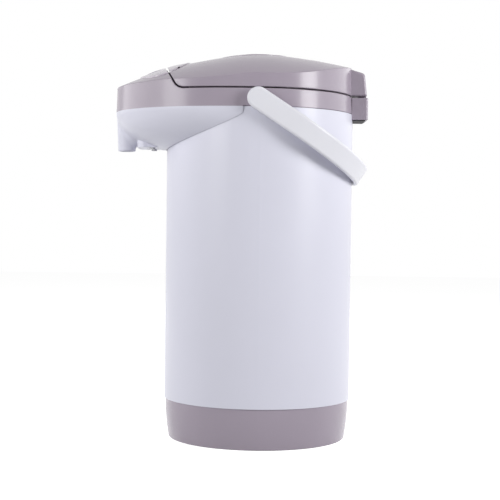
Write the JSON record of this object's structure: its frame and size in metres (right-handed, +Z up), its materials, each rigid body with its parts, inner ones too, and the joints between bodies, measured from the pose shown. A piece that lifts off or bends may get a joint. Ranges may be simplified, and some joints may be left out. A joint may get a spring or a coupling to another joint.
{
  "type": "electric thermo pot",
  "caption": "Slim round electric hot-water pot with an overhanging spout head, a hinged domed lid, a press plate, a swinging bail handle and a plug-in base.",
  "frame": {"origin": "on the pot's upright axis, at floor level", "axes": "+Z up along the pot's axis, -Y towards the front with the spout, +Y towards the rear with the lid hinge, +X to the right of someone who faces the spout"},
  "size_m": [0.191, 0.2374, 0.3609],
  "materials": {
    "body_paint": "satin lilac-white coat",
    "white_plastic": "satin white",
    "taupe_plastic": "satin taupe",
    "handle_plastic": "satin white",
    "panel_plastic": "pale grey",
    "button_plastic": "grey",
    "cap_plastic": "near black",
    "lens_plastic": "amber tint",
    "window_plastic": "clear",
    "stainless": "brushed",
    "steel_fastener": "zinc plated",
    "heater_steel": "mica and steel",
    "brass_pin": "plated",
    "silicone": "translucent white",
    "foot_rubber": "matte",
    "black_plastic": "matte",
    "inner_plastic": "natural",
    "circuit_board": "green board",
    "float_plastic": "red"
  },
  "bodies": {
    "body": {"outer_shell": "body_paint", "spout_cover": "white_plastic", "nozzle": "white_plastic", "spout_under_cover": "white_plastic", "base_housing": "taupe_plastic", "collar": "taupe_plastic", "hinge_base": "taupe_plastic", "bottom_cover": "taupe_plastic", "hinge_under_cap": "cap_plastic", "control_panel": "panel_plastic", "indicator_lenses": "lens_plastic", "level_window": "window_plastic", "level_tube": "window_plastic", "inner_pot": "stainless", "pot_strainer": "stainless", "bottom_screws": "steel_fastener", "under_cover_screws": "steel_fastener", "tie_rods": "steel_fastener", "tie_nuts": "steel_fastener", "hinge_pin": "steel_fastener", "boil_heater": "heater_steel", "warm_heater": "heater_steel", "pot_support": "heater_steel", "thermostat": "black_plastic", "thermal_fuse": "inner_plastic", "power_inlet": "black_plastic", "inlet_pins": "brass_pin", "power_board": "circuit_board", "control_board": "circuit_board", "board_components": "black_plastic", "pot_gasket": "silicone", "inlet_hose": "silicone", "outlet_hose": "silicone", "tube_sleeves": "silicone", "outlet_pipe": "inner_plastic", "button_membrane": "silicone", "foot_ring": "foot_rubber", "pump_motor": "stainless", "pump_housing": "inner_plastic", "tube_bracket": "inner_plastic"},
    "impeller": {"pump_impeller": "inner_plastic"},
    "float": {"level_float": "float_plastic"},
    "dispense_button": {"dispense_button": "button_plastic"},
    "reboil_button": {"reboil_button": "button_plastic"},
    "lock_button": {"lock_button": "button_plastic"},
    "handle": {"handle": "handle_plastic", "handle_studs": "handle_plastic"},
    "lid": {"lid_shell": "taupe_plastic", "lid_under_cover": "inner_plastic", "lid_screws": "steel_fastener", "inner_lid": "stainless", "lid_seal": "silicone", "steam_vent": "taupe_plastic", "lever_pin": "steel_fastener", "air_bellows": "silicone", "pump_spring": "steel_fastener"},
    "lid_lever": {"lid_lever": "panel_plastic"},
    "lid_latch": {"lid_latch": "inner_plastic"},
    "press_plate": {"press_plate": "taupe_plastic"}
  },
  "joints": [
    {"name": "impeller_spin", "type": "hinge", "parent": "body", "child": "impeller", "pos_m": [0, -0.026, 0.06], "axis": [0, 0, 1], "continuous": true},
    {"name": "float_rise", "type": "slide", "parent": "body", "child": "float", "axis": [0, 0, 1], "range_m": [0, 0.177]},
    {"name": "dispense_button_press", "type": "slide", "parent": "body", "child": "dispense_button", "axis": [0, 0.3673, -0.9301], "range_m": [0, 0.0012], "stiffness_N_per_m": 800, "springref_m": -0.0005},
    {"name": "reboil_button_press", "type": "slide", "parent": "body", "child": "reboil_button", "axis": [0, 0.3673, -0.9301], "range_m": [0, 0.0012], "stiffness_N_per_m": 800, "springref_m": -0.0005},
    {"name": "lock_button_press", "type": "slide", "parent": "body", "child": "lock_button", "axis": [0, 0.3673, -0.9301], "range_m": [0, 0.0012], "stiffness_N_per_m": 800, "springref_m": -0.0005},
    {"name": "handle_swing", "type": "hinge", "parent": "body", "child": "handle", "pos_m": [0, -0.0024, 0.3115], "axis": [1, 0, 0], "range_deg": [0, 123]},
    {"name": "lid_hinge", "type": "hinge", "parent": "body", "child": "lid", "pos_m": [0, 0.0963, 0.3245], "axis": [-1, 0, 0], "range_deg": [0, 85]},
    {"name": "lid_lever_pivot", "type": "hinge", "parent": "lid", "child": "lid_lever", "pos_m": [0, -0.0745, 0.3425], "axis": [1, 0, 0], "range_deg": [0, 10], "stiffness_Nm_per_rad": 0.6, "springref_deg": -5.73},
    {"name": "lid_latch_slide", "type": "slide", "parent": "lid", "child": "lid_latch", "axis": [0, 1, 0], "range_m": [0, 0.0027]},
    {"name": "press_plate_pump", "type": "slide", "parent": "lid", "child": "press_plate", "axis": [0, 0, -1], "range_m": [0, 0.018], "stiffness_N_per_m": 1500, "springref_m": -0.005, "deforming": ["air_bellows", "pump_spring"]}
  ],
  "couplings": [
    {"joint": "lid_latch_slide", "follows": "lid_lever_pivot", "m_per_rad": 0.01505}
  ]
}
